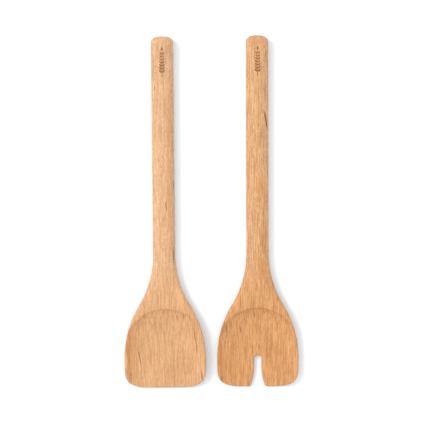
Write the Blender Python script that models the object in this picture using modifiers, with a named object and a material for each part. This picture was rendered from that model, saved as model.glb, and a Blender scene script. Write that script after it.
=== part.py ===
"""A pair of beech salad servers, a spoon and a slotted fork, lying side by side and face up.

Each server is one piece of solid wood: a straight handle that flares into a broad blade, with a
dish cut into its face. The two are loose, and only lie next to each other. Z = 0 is the table, the
handles point along +Y, and the origin is on the table in the middle of the pair.

Along a server, "from the tip" means the distance from the middle of its tip edge.
"""

import math
from dataclasses import dataclass

import bmesh
import bpy
import numpy as np

MM = 0.001

# The outline, seen from above
LENGTH = 300 * MM
HANDLE_WIDTH = 19 * MM
BLADE_WIDTH = 69.6 * MM
WIDEST_FROM_TIP = 25 * MM
SHOULDER_FROM_TIP = 114 * MM  # where the handle starts to flare
HANDLE_END_ROUND = 5.5 * MM
HANDLE_END_SQUARENESS = 2.5  # exponent of the superellipse: 2 is round, more is squarer

# The side profile
HANDLE_END_THICKNESS = 11.5 * MM
FACE_DROP = 1.5 * MM  # how much lower the face's line is at the tip than at the handle's end
FACE_DROP_POWER = 2.2
HANDLE_CROWN = 1.7 * MM  # how much lower the face is at its sides than in its middle
BLADE_CROWN = 0.6 * MM
KEEL_FROM_TIP = 100 * MM  # where the underside leaves the table on its way up to the tip
TIP_THICKNESS = 2.5 * MM
TIP_BACK_POWER = 3.2  # how squarely the underside curves up to the edges: 2 is a plain bow
NECK_BACK_POWER = 2

# The edges
HANDLE_EDGE_ROUND = 4.8 * MM
BLADE_EDGE_ROUND = 1.8 * MM
BLADE_EDGE_THICKNESS = 3.4 * MM
EDGE_THINS_FROM_TIP = 118 * MM  # from here the edges thin down towards the blade
EDGE_THIN_FROM_TIP = 40 * MM  # and here they are as thin as they get

# The dish in the blade's face
DISH_TOP_FROM_TIP = 67.2 * MM
DISH_TOP_LENGTH = 41.5 * MM  # from its widest line up to its top
DISH_RUN_OUT = 80 * MM  # from its widest line down past the tip, which cuts it off
DISH_OVERHANG = 3.2 * MM  # how far its widest line runs out past each side of the blade
DISH_DEPTH = 6.5 * MM
DISH_FLATNESS = 4  # exponent: 2 is a plain bowl, more is a flat floor with steeper walls
DISH_CUTTER_MARGIN = 1.1  # the cutter goes on past the dish's edge by this share

# The fork's slot
SLOT_WIDTH = 6.3 * MM
SLOT_DEPTH = 26.8 * MM
SLOT_FLARE_LENGTH = 16.5 * MM
SLOT_FLARE_RADIUS = 44 * MM

# How the two lie
BLADE_GAP = 9.4 * MM  # between the blades, where they are widest

# How fine the mesh is
EDGE_LAYERS = np.array([0.0, 0.134, 0.5, 1.0])  # shares of the edge's rounding, from the outside in
ROWS_IN_BLADE = 20
ROWS_IN_HANDLE = 14
COLUMNS_INSIDE = 4
OUTLINE_STEP = 1 * MM
MERGE_DISTANCE = 0.01 * MM


@dataclass(frozen=True)
class Server:
    """What differs between the two servers, and where each lies."""

    name: str
    tip_squareness: float
    slotted: bool
    side: int  # -1 is at -X, 1 at +X
    forward: float  # how far it lies towards +Y
    turn: float
    colour: tuple


SERVERS = (
    Server("spoon_server", 4.7, False, -1, -0.5 * MM, math.radians(0.6), (0.81, 0.49, 0.27, 1)),
    Server("fork_server", 4.8, True, 1, 0.4 * MM, math.radians(0.14), (0.76, 0.43, 0.21, 1)),
)
WOOD_ROUGHNESS = 0.55


def ease(share):
    """A smooth step from 0 to 1."""
    share = np.clip(share, 0, 1)
    return share * share * (3 - 2 * share)


# ---- The outline ----------------------------------------------------------------------------


def superellipse(share, squareness):
    """The other coordinate, from 1 down to 0, of a superellipse's quarter as this one goes from 0 to 1."""
    return (1 - np.clip(share, 0, 1) ** squareness) ** (1 / squareness)


def corner_share(squareness):
    """Where a superellipse crosses its diagonal, which is the middle of its corner."""
    return 0.5 ** (1 / squareness)


def shoulder_half_width(from_tip):
    """Two equal arcs, tangent to each other, to the blade's widest line and to the handle."""
    run = SHOULDER_FROM_TIP - WIDEST_FROM_TIP
    wide, narrow = BLADE_WIDTH / 2, HANDLE_WIDTH / 2
    radius = run / (2 * math.sin(2 * math.atan((wide - narrow) / run)))
    past_widest = np.clip(from_tip - WIDEST_FROM_TIP, 0, run / 2)
    before_handle = np.clip(SHOULDER_FROM_TIP - from_tip, 0, run / 2)
    convex = wide - radius + np.sqrt(radius**2 - past_widest**2)
    concave = narrow + radius - np.sqrt(radius**2 - before_handle**2)
    return np.where(from_tip < WIDEST_FROM_TIP + run / 2, convex, concave)


def half_width(from_tip, server):
    """Half the outline's width at a distance from the tip."""
    tip = superellipse(1 - from_tip / WIDEST_FROM_TIP, server.tip_squareness)
    end = superellipse(1 - (LENGTH - from_tip) / HANDLE_END_ROUND, HANDLE_END_SQUARENESS)
    return shoulder_half_width(from_tip) * tip * end


def tip_edge(x, server):
    """How far from the tip the outline's tip edge is, off to the side."""
    return WIDEST_FROM_TIP * (1 - superellipse(x / (BLADE_WIDTH / 2), server.tip_squareness))


def end_edge(x):
    """How far from the tip the outline's edge is at the handle's end, off to the side."""
    return LENGTH - HANDLE_END_ROUND * (1 - superellipse(x / (HANDLE_WIDTH / 2), HANDLE_END_SQUARENESS))


def tip_corner(server):
    """How far from the tip the middle of the tip's corner is."""
    return WIDEST_FROM_TIP * (1 - corner_share(server.tip_squareness))


def end_corner():
    """How far from the tip the middle of the handle end's corner is."""
    return LENGTH - HANDLE_END_ROUND * (1 - corner_share(HANDLE_END_SQUARENESS))


def outline(server):
    """The outline's +X half, from the middle of the tip to the middle of the handle's end."""
    side = np.arange(tip_corner(server), end_corner(), OUTLINE_STEP)
    side = np.append(side, end_corner())
    tip_x = np.arange(0, half_width(side[0], server), OUTLINE_STEP)
    end_x = np.arange(0, half_width(side[-1], server), OUTLINE_STEP)[::-1]
    x = np.concatenate([tip_x, half_width(side, server), end_x])
    along = np.concatenate([tip_edge(tip_x, server), side, end_edge(end_x)])
    return np.stack([x, along], axis=1)


def distance_to(line, points):
    """The distance from each point to the nearest stretch of a line of points."""
    start, stretch = line[:-1], np.diff(line, axis=0)
    away = points[:, None] - start
    share = np.clip((away * stretch).sum(2) / (stretch**2).sum(1), 0, 1)
    return np.linalg.norm(away - share[..., None] * stretch, axis=2).min(1)


# ---- The surfaces ---------------------------------------------------------------------------


def face_line(from_tip):
    """The height of the face along the server's middle, before the dish is cut."""
    share = 1 - np.clip(from_tip, 0, LENGTH) / LENGTH
    return HANDLE_END_THICKNESS - FACE_DROP * share**FACE_DROP_POWER


def dish_depth(x, from_tip):
    """How far below the face's line the dish's surface is. It is negative outside the dish's edge."""
    past_widest = from_tip - (DISH_TOP_FROM_TIP - DISH_TOP_LENGTH)
    length = np.where(past_widest > 0, DISH_TOP_LENGTH, DISH_RUN_OUT)
    half = BLADE_WIDTH / 2 + DISH_OVERHANG
    radius = np.hypot(x / half, past_widest / length)
    return DISH_DEPTH * (1 - radius**DISH_FLATNESS)


def handle_share(from_tip):
    """From 0 where the edges are the blade's to 1 where they are the handle's."""
    return ease((from_tip - EDGE_THIN_FROM_TIP) / (EDGE_THINS_FROM_TIP - EDGE_THIN_FROM_TIP))


def edge_round(from_tip):
    """How far in from the outline the rounding of the edge reaches, which the handle's width limits."""
    handle = min(HANDLE_EDGE_ROUND, 0.7 * HANDLE_WIDTH / 2)
    return BLADE_EDGE_ROUND + (handle - BLADE_EDGE_ROUND) * handle_share(from_tip)


def keel_line(from_tip):
    """The height of the underside along the server's middle."""
    tip_height = face_line(0) - dish_depth(0, 0) - TIP_THICKNESS
    return tip_height * np.clip(1 - from_tip / KEEL_FROM_TIP, 0, 1) ** 2


def back_height(x, from_tip):
    """The height of the underside, which rises from the keel to the blade's thin edges."""
    half = shoulder_half_width(from_tip)
    keel = keel_line(from_tip)
    cut = np.maximum(dish_depth(half, from_tip), 0)
    thin_edge = face_line(from_tip) - cut - BLADE_EDGE_THICKNESS
    rise = (thin_edge - keel) * (1 - handle_share(from_tip))
    power = TIP_BACK_POWER + (NECK_BACK_POWER - TIP_BACK_POWER) * handle_share(from_tip)
    return keel + rise * np.minimum(np.abs(x) / half, 1) ** power


def face_height(x, from_tip):
    """The height of the face before the dish is cut, crowned from side to side."""
    crown = BLADE_CROWN + (HANDLE_CROWN - BLADE_CROWN) * handle_share(from_tip)
    return face_line(from_tip) - crown * np.minimum(np.abs(x) / shoulder_half_width(from_tip), 1) ** 2


# ---- The blank ------------------------------------------------------------------------------


def row_places(server):
    """Where the blank's rows meet its side, from the tip's corner to the handle end's."""
    tip_rows = tip_corner(server) + BLADE_EDGE_ROUND * EDGE_LAYERS
    end_rows = end_corner() - edge_round(LENGTH) * EDGE_LAYERS[::-1]
    blade_rows = np.linspace(tip_rows[-1], SHOULDER_FROM_TIP, ROWS_IN_BLADE + 1)[1:]
    handle_rows = np.linspace(SHOULDER_FROM_TIP, end_rows[0], ROWS_IN_HANDLE + 1)[1:-1]
    return np.concatenate([tip_rows, blade_rows, handle_rows, end_rows])


def row_points(side, server):
    """One row of the +X half, from the middle out to the side, as x and distance from the tip.

    A row is straight along the handle and bends to follow the outline near both ends.
    """
    half = half_width(side, server)
    layer = edge_round(side)
    inside = np.linspace(0, half - layer, COLUMNS_INSIDE + 1)[:-1]
    x = np.concatenate([inside, half - layer * EDGE_LAYERS[::-1]])
    first, last = tip_corner(server), end_corner()
    tip_bend = first - tip_edge(x / half * half_width(first, server), server)
    end_bend = end_edge(x / half * half_width(last, server)) - last
    tip_share = 1 - ease((side - first) / WIDEST_FROM_TIP)
    end_share = 1 - ease((last - side) / HANDLE_WIDTH)
    return x, side - tip_bend * tip_share + end_bend * end_share


def blank(server):
    """The server before its dish and slot are cut: a loft of rows over the outline, with full round edges."""
    rows = [row_points(side, server) for side in row_places(server)]
    x = np.array([row[0] for row in rows])
    along = np.array([row[1] for row in rows])
    flat = np.stack([x.ravel(), along.ravel()], axis=1)
    inward = distance_to(outline(server), flat).reshape(x.shape)
    inward[0] = inward[-1] = inward[:, -1] = 0
    fullness = np.sqrt(1 - (1 - np.minimum(inward / edge_round(along), 1)) ** 2)
    top, bottom = face_height(x, along), back_height(x, along)
    middle, half_thickness = (top + bottom) / 2, (top - bottom) / 2

    count, across = x.shape
    mesh = bmesh.new()
    sides = {}
    for side, direction in (("face", 1), ("back", -1)):
        z = middle + direction * half_thickness * fullness
        sides[side] = [
            [mesh.verts.new((x[i, j], along[i, j] - LENGTH / 2, z[i, j])) for j in range(across)]
            for i in range(count)
        ]
    for i in range(count - 1):
        for j in range(across - 1):
            for grid in sides.values():
                mesh.faces.new((grid[i][j], grid[i][j + 1], grid[i + 1][j + 1], grid[i + 1][j]))
    bmesh.ops.remove_doubles(mesh, verts=mesh.verts, dist=MERGE_DISTANCE)
    bmesh.ops.recalc_face_normals(mesh, faces=mesh.faces)
    data = bpy.data.meshes.new(server.name)
    mesh.to_mesh(data)
    mesh.free()
    made = bpy.data.objects.new(server.name, data)
    other_half = made.modifiers.new("other_half", "MIRROR")
    other_half.use_clip = True
    other_half.merge_threshold = MERGE_DISTANCE
    return made


# ---- The cutters ----------------------------------------------------------------------------


def dish_cutter():
    """A ball pressed into the dish's shape below, and standing clear of the face above."""
    half = (BLADE_WIDTH / 2 + DISH_OVERHANG) * DISH_CUTTER_MARGIN
    widest = DISH_TOP_FROM_TIP - DISH_TOP_LENGTH
    mesh = bmesh.new()
    bmesh.ops.create_uvsphere(mesh, u_segments=48, v_segments=18, radius=1)
    for vertex in mesh.verts:
        length = DISH_TOP_LENGTH if vertex.co.y > 0 else DISH_RUN_OUT
        x = vertex.co.x * half
        from_tip = widest + vertex.co.y * length * DISH_CUTTER_MARGIN
        surface = face_line(from_tip) - dish_depth(x, from_tip)
        above = max(vertex.co.z, 0) * 2 * DISH_DEPTH
        if above:
            rim = DISH_DEPTH * (DISH_CUTTER_MARGIN**DISH_FLATNESS - 1)
            surface = face_line(from_tip) + rim + above
        vertex.co = (x, from_tip - LENGTH / 2, surface)
    bmesh.ops.recalc_face_normals(mesh, faces=mesh.faces)
    data = bpy.data.meshes.new("dish_cutter")
    mesh.to_mesh(data)
    mesh.free()
    return bpy.data.objects.new("dish_cutter", data)


def arc(centre_x, centre_y, radius, start, end, steps):
    """Points along an arc, with both angles in degrees from +X."""
    angles = np.radians(np.linspace(start, end, steps + 1))
    return [(centre_x + radius * math.cos(a), centre_y + radius * math.sin(a)) for a in angles]


def slot_cutter():
    """The slot's outline, round at its inner end and flared at the tip, as a filled curve with depth."""
    half = SLOT_WIDTH / 2
    reach = math.degrees(math.asin(min(1.1 * SLOT_FLARE_LENGTH / SLOT_FLARE_RADIUS, 0.95)))
    flare_x = half + SLOT_FLARE_RADIUS
    right = arc(flare_x, SLOT_FLARE_LENGTH, SLOT_FLARE_RADIUS, 180 + reach, 180, 6)
    round_end = arc(0, SLOT_DEPTH - half, half, 0, 180, 12)
    left = [(-x, y) for x, y in reversed(right)]
    mouth_x, mouth_y = right[0]
    past_tip = mouth_y - SLOT_DEPTH
    points = [(mouth_x, past_tip), *right, *round_end, *left, (-mouth_x, past_tip)]

    curve = bpy.data.curves.new("slot_cutter", "CURVE")
    curve.dimensions = "2D"
    curve.fill_mode = "BOTH"
    curve.extrude = HANDLE_END_THICKNESS
    spline = curve.splines.new("POLY")
    spline.points.add(len(points) - 1)
    for point, (x, from_tip) in zip(spline.points, points):
        point.co = (x, from_tip - LENGTH / 2, HANDLE_END_THICKNESS / 2, 1)
    spline.use_cyclic_u = True
    made = bpy.data.objects.new("slot_curve", curve)
    bpy.context.scene.collection.objects.link(made)
    return as_mesh(made, "slot_cutter")


def as_mesh(curve_object, name):
    """A mesh object in place of a curve object, with its caps welded."""
    graph = bpy.context.evaluated_depsgraph_get()
    data = bpy.data.meshes.new_from_object(curve_object.evaluated_get(graph))
    mesh = bmesh.new()
    mesh.from_mesh(data)
    bmesh.ops.remove_doubles(mesh, verts=mesh.verts, dist=MERGE_DISTANCE)
    bmesh.ops.recalc_face_normals(mesh, faces=mesh.faces)
    mesh.to_mesh(data)
    mesh.free()
    made = bpy.data.objects.new(name, data)
    made.matrix_world = curve_object.matrix_world
    bpy.data.objects.remove(curve_object)
    return made


def cut(target, cutter):
    """Takes the cutter's shape out of the target."""
    modifier = target.modifiers.new(cutter.name, "BOOLEAN")
    modifier.operation = "DIFFERENCE"
    modifier.solver = "EXACT"
    modifier.object = cutter


# ---- The pair -------------------------------------------------------------------------------


def beech(server):
    """The server's own oiled beech."""
    material = bpy.data.materials.new(server.name + "_beech")
    material.use_nodes = True
    shader = material.node_tree.nodes["Principled BSDF"]
    shader.inputs["Base Color"].default_value = server.colour
    shader.inputs["Roughness"].default_value = WOOD_ROUGHNESS
    shader.inputs["Metallic"].default_value = 0
    return material


def place(piece, server, collection):
    """Lays a piece or its cutter where the server lies, half a gap from the other one's blade."""
    collection.objects.link(piece)
    blade_x = server.side * (BLADE_WIDTH + BLADE_GAP) / 2
    middle_to_widest = LENGTH / 2 - WIDEST_FROM_TIP
    piece.location = (blade_x - middle_to_widest * math.sin(server.turn), server.forward, 0)
    piece.rotation_euler = (0, 0, server.turn)


def add_server(server, pieces, cutters):
    """One whole server, cut from its blank."""
    made = blank(server)
    place(made, server, pieces)
    tools = [dish_cutter()]
    if server.slotted:
        tools.append(slot_cutter())
    for tool in tools:
        place(tool, server, cutters)
        tool.hide_render = True
        tool.display_type = "WIRE"
        cut(made, tool)
    made.data.materials.append(beech(server))
    made.data.shade_smooth()


def clear_scene():
    """Removes what the file starts with."""
    for found in list(bpy.data.objects):
        bpy.data.objects.remove(found)


def new_collection(name):
    """A collection in the scene."""
    made = bpy.data.collections.new(name)
    bpy.context.scene.collection.children.link(made)
    return made


def main():
    """Builds the pair."""
    clear_scene()
    pieces = new_collection("salad_servers")
    cutters = new_collection("cutters")
    for server in SERVERS:
        add_server(server, pieces, cutters)


main()
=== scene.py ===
"""A pair of beech salad servers, a spoon and a slotted fork, lying face up on a white table.

Each server is one piece of wood. Its outline is drawn in plan, filled with a fine flat mesh, and raised
into its full form by a Geometry Nodes tree. A burnt sprig of leaves marks each handle near its end.

In a server's own frame, x runs across it from its middle line, and y is the distance from its tip edge.
"""

from __future__ import annotations

import logging
import math
from dataclasses import dataclass, field
from enum import Enum
from typing import Any, Mapping, Sequence, Union

import bpy
import numpy as np
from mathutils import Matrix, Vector
from mathutils.geometry import delaunay_2d_cdt

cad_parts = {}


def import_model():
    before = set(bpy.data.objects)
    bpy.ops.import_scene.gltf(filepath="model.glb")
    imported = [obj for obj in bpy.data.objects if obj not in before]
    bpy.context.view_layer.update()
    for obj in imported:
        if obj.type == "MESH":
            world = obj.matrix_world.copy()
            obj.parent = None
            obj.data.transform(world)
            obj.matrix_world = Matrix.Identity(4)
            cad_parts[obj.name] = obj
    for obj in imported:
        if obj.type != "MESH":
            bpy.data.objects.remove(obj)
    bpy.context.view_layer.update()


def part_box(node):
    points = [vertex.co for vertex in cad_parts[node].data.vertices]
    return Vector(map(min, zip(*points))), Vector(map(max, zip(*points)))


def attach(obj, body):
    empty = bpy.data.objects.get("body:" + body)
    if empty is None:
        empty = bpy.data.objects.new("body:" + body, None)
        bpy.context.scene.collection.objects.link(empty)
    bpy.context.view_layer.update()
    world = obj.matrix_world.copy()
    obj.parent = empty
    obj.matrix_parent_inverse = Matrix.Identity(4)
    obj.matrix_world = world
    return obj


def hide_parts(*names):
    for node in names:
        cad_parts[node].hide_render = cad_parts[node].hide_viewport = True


MM = 0.001
MERGE_DISTANCE = 0.002 * MM
MIX_SHARE, MIX_FIRST, MIX_SECOND, MIX_RESULT = 0, 6, 7, 2  # a Mix node's sockets for colours

log = logging.getLogger("salad_servers")


# ---- Nodes as expressions -------------------------------------------------------------------


@dataclass(frozen=True)
class Expr:
    """A node's output on a board, on which Python's operators add Math nodes."""

    board: Board
    socket: bpy.types.NodeSocket

    def math(self, operation: str, *others: Value) -> Expr:
        """The result of a Math node that takes this value first."""
        return self.board.math(operation, self, *others)

    def __add__(self, other: Value) -> Expr:
        """self + other."""
        return self.math("ADD", other)

    def __radd__(self, other: Value) -> Expr:
        """other + self."""
        return self.math("ADD", other)

    def __sub__(self, other: Value) -> Expr:
        """self - other."""
        return self.math("SUBTRACT", other)

    def __rsub__(self, other: Value) -> Expr:
        """other - self."""
        return self.board.math("SUBTRACT", other, self)

    def __mul__(self, other: Value) -> Expr:
        """self * other."""
        return self.math("MULTIPLY", other)

    def __rmul__(self, other: Value) -> Expr:
        """other * self."""
        return self.math("MULTIPLY", other)

    def __truediv__(self, other: Value) -> Expr:
        """self / other."""
        return self.math("DIVIDE", other)

    def __rtruediv__(self, other: Value) -> Expr:
        """other / self."""
        return self.board.math("DIVIDE", other, self)

    def __pow__(self, other: Value) -> Expr:
        """self ** other."""
        return self.math("POWER", other)

    def __abs__(self) -> Expr:
        """The size of this value without its sign."""
        return self.math("ABSOLUTE")

    def __gt__(self, other: Value) -> Expr:
        """1 where self is greater than other, and 0 elsewhere."""
        return self.math("GREATER_THAN", other)

    def at_least(self, other: Value) -> Expr:
        """The larger of the two."""
        return self.math("MAXIMUM", other)

    def at_most(self, other: Value) -> Expr:
        """The smaller of the two."""
        return self.math("MINIMUM", other)

    def clamped(self) -> Expr:
        """This value kept between 0 and 1."""
        return self.at_least(0.0).at_most(1.0)

    def eased(self) -> Expr:
        """A smooth step from 0 to 1 as this value goes from 0 to 1."""
        share = self.clamped()
        return share * share * (3.0 - 2.0 * share)

    def rise(self, low: float, high: float) -> Expr:
        """A smooth step from 0 at one value to 1 at another, which may be the smaller one."""
        return ((self - low) / (high - low)).eased()


Value = Union[Expr, float, int]


@dataclass(frozen=True)
class Outlets:
    """The outputs of a node that was just added to a board."""

    board: Board
    node: bpy.types.Node

    def __getitem__(self, name: Union[str, int]) -> Expr:
        """The output of that name or number."""
        return Expr(self.board, self.node.outputs[name])


@dataclass
class Board:
    """A shader or Geometry Nodes tree that nodes are added to."""

    tree: bpy.types.NodeTree

    def add(
        self,
        kind: str,
        settings: Mapping[str, Any] | None = None,
        inputs: Mapping[Union[str, int], Any] | None = None,
    ) -> Outlets:
        """Adds one node.

        Args:
            kind: the node's type.
            settings: its properties, which are set first.
            inputs: what each input is set or linked to, by name or number. A list links each of its items.

        Returns:
            The node's outputs.
        """
        node = self.tree.nodes.new(kind)
        for name, value in (settings or {}).items():
            setattr(node, name, value)
        for name, value in (inputs or {}).items():
            for item in value if isinstance(value, list) else [value]:
                self._fill(node.inputs[name], item)
        return Outlets(self, node)

    def _fill(self, socket: bpy.types.NodeSocket, value: Any) -> None:
        """Links an expression to an input, or sets the input to a plain value."""
        if isinstance(value, Expr):
            self.tree.links.new(value.socket, socket)
        else:
            socket.default_value = value

    def math(self, operation: str, *values: Value) -> Expr:
        """The result of a new Math node with these inputs, in order."""
        return self.add("ShaderNodeMath", {"operation": operation}, dict(enumerate(values)))[0]

    def vector_math(self, operation: str, *values: Any) -> Expr:
        """The vector from a new Vector Math node with these inputs, in order."""
        return self.add("ShaderNodeVectorMath", {"operation": operation}, dict(enumerate(values)))[0]

    def parts(self, vector: Expr) -> tuple[Expr, Expr, Expr]:
        """The x, y and z of a vector."""
        split = self.add("ShaderNodeSeparateXYZ", inputs={0: vector})
        return split[0], split[1], split[2]

    def vector(self, x: Value, y: Value, z: Value) -> Expr:
        """The vector with these parts."""
        return self.add("ShaderNodeCombineXYZ", inputs={0: x, 1: y, 2: z})[0]

    def tint(self, share: Value, first: Any, second: Any, blend: Blend) -> Expr:
        """Mixes two colours.

        Args:
            share: how much of the second colour is mixed in.
            first: a colour or a colour expression.
            second: the same.
            blend: the way they mix.

        Returns:
            The mixed colour.
        """
        settings = {"data_type": "RGBA", "blend_type": blend.value, "clamp_factor": True}
        first, second = (c if isinstance(c, Expr) else (*c, 1.0) for c in (first, second))
        inputs = {MIX_SHARE: share, MIX_FIRST: first, MIX_SECOND: second}
        return self.add("ShaderNodeMix", settings, inputs)[MIX_RESULT]

    def bump(self, height: Expr, strength: float, depth: float) -> Expr:
        """The normal of fine relief, in which a height of 1 is as deep as this."""
        inputs = {"Strength": strength, "Distance": depth, "Height": height}
        return self.add("ShaderNodeBump", inputs=inputs)[0]

    def surface(self, inputs: Mapping[str, Any]) -> None:
        """Ends a material's tree with a shader that has these inputs."""
        shader = self.add("ShaderNodeBsdfPrincipled", inputs=inputs)[0]
        self.add("ShaderNodeOutputMaterial", inputs={"Surface": shader})


class Blend(Enum):
    """The ways two colours mix."""

    OVER = "MIX"
    DARKEN = "MULTIPLY"


Colour = tuple[float, float, float]


def linear(red: int, green: int, blue: int) -> Colour:
    """The linear colour for one on the usual screen scale of 0 to 255."""
    shares = [channel / 255 for channel in (red, green, blue)]
    return tuple(s / 12.92 if s <= 0.04045 else ((s + 0.055) / 1.055) ** 2.4 for s in shares)


class Recipe:
    """A Geometry Nodes tree with named inputs."""

    SOCKETS = {float: "NodeSocketFloat", int: "NodeSocketInt", Vector: "NodeSocketVector"}

    def __init__(self, name: str, inputs: Mapping[str, Any]) -> None:
        """Starts a tree.

        Args:
            name: the tree's name.
            inputs: each named input's value, which also says its type.
        """
        self.tree = bpy.data.node_groups.new(name, "GeometryNodeTree")
        self.board = Board(self.tree)
        self.values = dict(inputs)
        interface = self.tree.interface
        interface.new_socket("Geometry", in_out="OUTPUT", socket_type="NodeSocketGeometry")
        interface.new_socket("Geometry", in_out="INPUT", socket_type="NodeSocketGeometry")
        self.keys = {}
        for label, value in inputs.items():
            kind = self.SOCKETS[type(value)]
            self.keys[label] = interface.new_socket(label, in_out="INPUT", socket_type=kind).identifier
        self.start = self.board.add("NodeGroupInput")

    def __getitem__(self, label: str) -> Expr:
        """The input of that name."""
        return self.start[label]

    def position(self) -> tuple[Expr, Expr, Expr]:
        """The x, y and z of each point."""
        return self.board.parts(self.board.add("GeometryNodeInputPosition")[0])

    def moved(self, geometry: Expr, x: Value, y: Value, z: Value) -> Expr:
        """The geometry with its points at this place."""
        inputs = {"Geometry": geometry, "Position": self.board.vector(x, y, z)}
        return self.board.add("GeometryNodeSetPosition", inputs=inputs)[0]

    def flipped(self, geometry: Expr) -> Expr:
        """The geometry with its faces turned over."""
        return self.board.add("GeometryNodeFlipFaces", inputs={0: geometry})[0]

    def joined(self, *pieces: Expr) -> Expr:
        """The pieces as one geometry."""
        return self.board.add("GeometryNodeJoinGeometry", inputs={0: list(pieces)})[0]

    def welded(self, geometry: Expr) -> Expr:
        """The geometry with points that lie together merged."""
        inputs = {"Geometry": geometry, "Distance": MERGE_DISTANCE}
        return self.board.add("GeometryNodeMergeByDistance", inputs=inputs)[0]

    def laid(self, geometry: Expr) -> Expr:
        """The geometry taken from the server's own frame to where the server lies."""
        inputs = {"Geometry": geometry, "Translation": self["Shift"], "Rotation": self["Turn"]}
        return self.board.add("GeometryNodeTransform", inputs=inputs)[0]

    def end(self, geometry: Expr, material: bpy.types.Material) -> None:
        """Ends the tree with real, smooth geometry in a material.

        Args:
            geometry: what the tree has made.
            material: the finish of all of it.
        """
        add = self.board.add
        real = add("GeometryNodeRealizeInstances", inputs={"Geometry": geometry})[0]
        smooth = add("GeometryNodeSetShadeSmooth", inputs={"Geometry": real})[0]
        dressed = add("GeometryNodeSetMaterial", inputs={"Geometry": smooth, "Material": material})[0]
        add("NodeGroupOutput", inputs={"Geometry": dressed})

    def make(self, name: str, mesh: bpy.types.Mesh) -> bpy.types.Object:
        """Runs the tree on a mesh.

        Args:
            name: the new piece's name.
            mesh: what the tree starts from.

        Returns:
            A piece with a plain mesh and no modifier.
        """
        piece = bpy.data.objects.new(name, mesh)
        bpy.context.scene.collection.objects.link(piece)
        modifier = piece.modifiers.new(self.tree.name, "NODES")
        modifier.node_group = self.tree
        for label, value in self.values.items():
            modifier[self.keys[label]] = value
        graph = bpy.context.evaluated_depsgraph_get()
        made = bpy.data.meshes.new_from_object(piece.evaluated_get(graph))
        piece.modifiers.remove(modifier)
        made.name = name
        piece.data = made
        log.info("%s: %d faces", name, len(made.polygons))
        return piece


# ---- Sizes ----------------------------------------------------------------------------------


def ease(share: np.ndarray) -> np.ndarray:
    """A smooth step from 0 to 1."""
    share = np.clip(share, 0, 1)
    return share * share * (3 - 2 * share)


@dataclass(frozen=True)
class Slot:
    """The fork's slot, which is round inside and flares out at the tip."""

    width: float = 6.3 * MM
    depth: float = 26.8 * MM
    flare_length: float = 16.5 * MM
    flare_radius: float = 44 * MM
    corner: float = 0.9 * MM  # how far the tines' inner corners are rounded back
    edge_round: float = 0.6 * MM


@dataclass(frozen=True)
class Form:
    """A server's sizes. The overall ones come from the frame."""

    length: float
    blade_width: float
    end_thickness: float  # of the handle, at its end
    tip_squareness: float
    rim_softness: float  # how far the dish's crest is sanded down
    slot: Slot | None = None
    handle_width: float = 19 * MM
    widest: float = 25 * MM  # from the tip
    shoulder: float = 114 * MM  # from the tip to where the handle starts to flare
    end_round: float = 5.5 * MM
    end_squareness: float = 2.5
    face_drop: float = 1.5 * MM  # how much lower the face's line is at the tip than at the end
    face_drop_power: float = 2.2
    handle_crown: float = 1.7 * MM  # how much lower the face is at its sides
    blade_crown: float = 0.6 * MM
    keel: float = 100 * MM  # from the tip to where the underside meets the table
    tip_thickness: float = 2.5 * MM
    tip_back_power: float = 3.2
    neck_back_power: float = 2.0
    handle_edge: float = 4.7 * MM  # how far in the rounding of the edges reaches
    end_edge: float = 2.8 * MM
    end_edge_start: float = 22 * MM  # from the handle's end to where the edges start to change
    end_edge_full: float = 8.25 * MM
    blade_edge: float = 1.7 * MM
    tip_edge: float = 1.2 * MM
    blade_edge_thickness: float = 3.4 * MM
    edge_thin: float = 40 * MM  # from the tip to where the edges start to thicken to the handle's
    edge_thick: float = 118 * MM
    dish_top: float = 67.2 * MM
    dish_top_length: float = 41.5 * MM
    dish_run_out: float = 80 * MM
    dish_overhang: float = 3.2 * MM
    dish_depth: float = 6.5 * MM
    dish_flatness: float = 4.0

    @property
    def dish_widest(self) -> float:
        """How far from the tip the dish is widest."""
        return self.dish_top - self.dish_top_length

    @property
    def dish_half_width(self) -> float:
        """Half the dish's width, which runs out past the blade's sides."""
        return self.blade_width / 2 + self.dish_overhang

    @property
    def tip_height(self) -> float:
        """The height of the underside at the middle of the tip."""
        run_out = (self.dish_widest / self.dish_run_out) ** self.dish_flatness
        return self.end_thickness - self.face_drop - self.dish_depth * (1 - run_out) - self.tip_thickness

    def handle_share(self, y: np.ndarray) -> np.ndarray:
        """From 0 where the edges are the blade's to 1 where they are the handle's."""
        return ease((y - self.edge_thin) / (self.edge_thick - self.edge_thin))

    def shoulder_half_width(self, y: np.ndarray) -> np.ndarray:
        """Half the width between the blade's widest line and the handle, as two tangent arcs."""
        run = self.shoulder - self.widest
        wide, narrow = self.blade_width / 2, self.handle_width / 2
        radius = run / (2 * math.sin(2 * math.atan((wide - narrow) / run)))
        past_widest = np.clip(y - self.widest, 0, run / 2)
        before_handle = np.clip(self.shoulder - y, 0, run / 2)
        convex = wide - radius + np.sqrt(radius**2 - past_widest**2)
        concave = narrow + radius - np.sqrt(radius**2 - before_handle**2)
        return np.where(y < self.widest + run / 2, convex, concave)

    def dish_radius(self, x: np.ndarray, y: np.ndarray) -> np.ndarray:
        """How far out in the dish a point is: 0 at its middle and 1 on its crest."""
        past_widest = y - self.dish_widest
        length = np.where(past_widest > 0, self.dish_top_length, self.dish_run_out)
        return np.hypot(x / self.dish_half_width, past_widest / length)


# ---- The plan -------------------------------------------------------------------------------


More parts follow.
